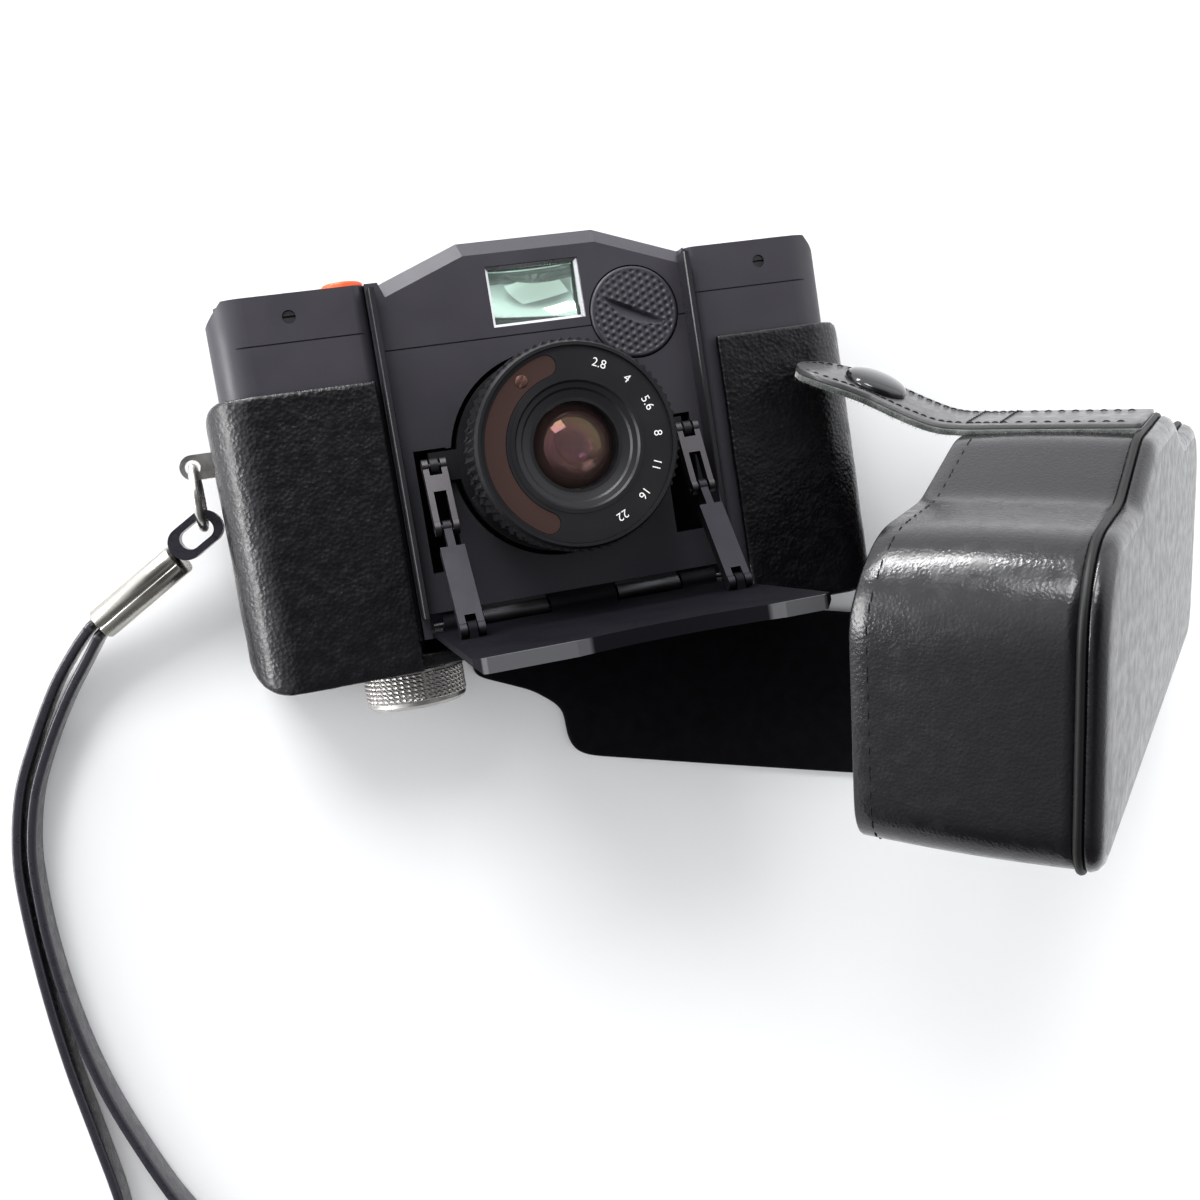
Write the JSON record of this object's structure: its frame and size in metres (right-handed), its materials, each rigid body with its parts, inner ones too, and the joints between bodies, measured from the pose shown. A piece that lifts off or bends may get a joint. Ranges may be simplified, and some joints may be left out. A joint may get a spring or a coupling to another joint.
{
  "type": "folding camera in a leather case",
  "caption": "Compact folding 35 mm camera with its lid down and lens out, lying in an open leather half-case with hood, tongue and wrist strap.",
  "frame": {"origin": "in the table plane, under the middle of the camera body", "axes": "+X to the camera's right as its front is seen, +Y to its top, +Z out along the lens axis, up from the table"},
  "size_m": [0.2109, 0.1893, 0.0997],
  "materials": {
    "body_black": "fine satin texture",
    "inner_black": "flat black",
    "lid_black": "fine satin texture",
    "ring_black": "satin",
    "orange_plastic": "gloss",
    "dark_steel": "blackened",
    "battery_steel": "plain",
    "link_grey": "satin grey",
    "nickel": "nickel plated",
    "clear_glass": "clear",
    "smoked_window": "smoked translucent",
    "coated_glass": "coated",
    "case_leather": "black pebble grain",
    "case_suede": "black, matt suede side",
    "piping_black": "smooth black",
    "strap_leather": "smooth black",
    "snap_black": "gloss black enamel"
  },
  "bodies": {
    "camera": {"front_housing": "body_black", "back_shell": "body_black", "top_cover": "body_black", "inner_chassis": "inner_black", "pressure_plate": "dark_steel", "viewfinder_window": "clear_glass", "viewfinder_lens": "clear_glass", "eyepiece": "inner_black", "accessory_shoe": "dark_steel", "counter_window": "clear_glass", "battery_holder": "inner_black", "battery": "battery_steel", "guide_rails": "body_black", "housing_screws": "dark_steel", "lid_hinge_pin": "dark_steel", "tripod_bush": "nickel", "strap_lug": "nickel", "case_back": "case_suede", "case_flap": "case_suede", "left_grip": "case_leather", "right_grip": "case_leather", "case_bottom": "case_leather", "snap_socket": "nickel"},
    "lid": {"lid": "lid_black"},
    "lens": {"lens_carriage": "body_black", "lens_bezel": "ring_black", "meter_window": "smoked_window", "lens_cone": "inner_black", "front_element": "coated_glass", "inner_elements": "clear_glass", "shutter_blades": "dark_steel"},
    "aperture_ring": {"aperture_ring": "ring_black"},
    "focus_ring": {"focus_ring": "ring_black"},
    "upper_link_left": {"upper_link_left": "link_grey"},
    "upper_link_right": {"upper_link_right": "link_grey"},
    "lower_link_left": {"lower_link_left": "link_grey"},
    "lower_link_right": {"lower_link_right": "link_grey"},
    "battery_cap": {"battery_cap": "body_black"},
    "thumbscrew": {"thumbscrew": "nickel"},
    "shutter_button": {"shutter_button": "orange_plastic"},
    "self_timer_switch": {"self_timer_switch": "body_black"},
    "advance_lever": {"advance_lever": "body_black"},
    "takeup_spool": {"takeup_spool": "inner_black"},
    "rewind_knob": {"rewind_knob": "body_black"},
    "rewind_crank": {"rewind_crank": "dark_steel"},
    "hood": {"hood_gusset": "case_leather", "hood_front": "case_leather", "hood_piping": "piping_black", "tongue_strip": "case_leather"},
    "tongue": {"tongue": "case_suede", "snap_cap": "snap_black"},
    "strap": {"split_ring": "nickel", "strap_loop": "strap_leather", "strap_clamp": "nickel", "wrist_strap": "strap_leather"}
  },
  "joints": [
    {"name": "lid_hinge", "type": "hinge", "parent": "camera", "child": "lid", "pos_m": [0, -0.0286, 0.0273], "axis": [1, 0, 0], "range_deg": [-90, 0]},
    {"name": "lens_slide", "type": "slide", "parent": "camera", "child": "lens", "axis": [0, 0, 1], "range_m": [-0.0206, 0]},
    {"name": "aperture_turn", "type": "hinge", "parent": "lens", "child": "aperture_ring", "pos_m": [-0.0008, -0.0047, 0.034], "axis": [0, 0, 1], "range_deg": [0, 90]},
    {"name": "focus_turn", "type": "hinge", "parent": "lens", "child": "focus_ring", "pos_m": [-0.0008, -0.0047, 0.041], "axis": [0, 0, 1], "range_deg": [0, 130]},
    {"name": "upper_left_pivot", "type": "hinge", "parent": "lens", "child": "upper_link_left", "pos_m": [-0.0203, -0.0042, 0.031], "axis": [1, 0, 0], "range_deg": [0, 19]},
    {"name": "upper_right_pivot", "type": "hinge", "parent": "lens", "child": "upper_link_right", "pos_m": [0.0203, -0.0042, 0.031], "axis": [1, 0, 0], "range_deg": [0, 19]},
    {"name": "lower_left_pivot", "type": "hinge", "parent": "lid", "child": "lower_link_left", "pos_m": [-0.0203, -0.0283, 0.045], "axis": [1, 0, 0], "range_deg": [0, 14]},
    {"name": "lower_right_pivot", "type": "hinge", "parent": "lid", "child": "lower_link_right", "pos_m": [0.0203, -0.0283, 0.045], "axis": [1, 0, 0], "range_deg": [0, 14]},
    {"name": "battery_cap_turn", "type": "hinge", "parent": "camera", "child": "battery_cap", "pos_m": [0.016, 0.0156, 0.025], "axis": [0, 0, 1], "range_deg": [0, 120]},
    {"name": "thumbscrew_turn", "type": "hinge", "parent": "camera", "child": "thumbscrew", "pos_m": [-0.0275, -0.038, 0.0152], "axis": [0, -1, 0], "continuous": true},
    {"name": "shutter_press", "type": "slide", "parent": "camera", "child": "shutter_button", "axis": [0, -1, 0], "range_m": [0, 0.001], "stiffness_N_per_m": 800},
    {"name": "self_timer_slide", "type": "slide", "parent": "camera", "child": "self_timer_switch", "axis": [1, 0, 0], "range_m": [0, 0.002]},
    {"name": "advance", "type": "hinge", "parent": "camera", "child": "advance_lever", "pos_m": [-0.037, 0.0259, 0.01], "axis": [0, 1, 0], "range_deg": [0, 100]},
    {"name": "takeup_turn", "type": "hinge", "parent": "camera", "child": "takeup_spool", "pos_m": [-0.0375, 0, 0.0145], "axis": [0, 1, 0], "range_deg": [0, 100]},
    {"name": "rewind_turn", "type": "hinge", "parent": "camera", "child": "rewind_knob", "pos_m": [0.0375, -0.028, 0.0155], "axis": [0, -1, 0], "continuous": true},
    {"name": "crank_flip", "type": "hinge", "parent": "rewind_knob", "child": "rewind_crank", "pos_m": [0.0375, -0.0295, 0.0201], "axis": [1, 0, 0], "range_deg": [-110, 0]},
    {"name": "hood_swing", "type": "hinge", "parent": "camera", "child": "hood", "pos_m": [0.0934, -0.0314, 0.0055], "axis": [0.0265, 0.9822, 0.1862], "range_deg": [0, 40]},
    {"name": "tongue_bend", "type": "hinge", "parent": "hood", "child": "tongue", "pos_m": [0.0602, -0.0104, 0.0484], "axis": [0.7105, 0.1125, -0.6947], "range_deg": [0, 40]},
    {"name": "strap_swing", "type": "hinge", "parent": "camera", "child": "strap", "pos_m": [-0.056, 0.0018, 0.0136], "axis": [0, 0, 1], "range_deg": [-6, 2]}
  ],
  "couplings": [
    {"joint": "lens_slide", "follows": "lid_hinge", "m_per_rad": 0.013051},
    {"joint": "upper_left_pivot", "follows": "lid_hinge", "ratio": -0.21},
    {"joint": "upper_right_pivot", "follows": "lid_hinge", "ratio": -0.21},
    {"joint": "lower_left_pivot", "follows": "lid_hinge", "ratio": -0.15},
    {"joint": "lower_right_pivot", "follows": "lid_hinge", "ratio": -0.15},
    {"joint": "takeup_turn", "follows": "advance", "ratio": 1}
  ]
}
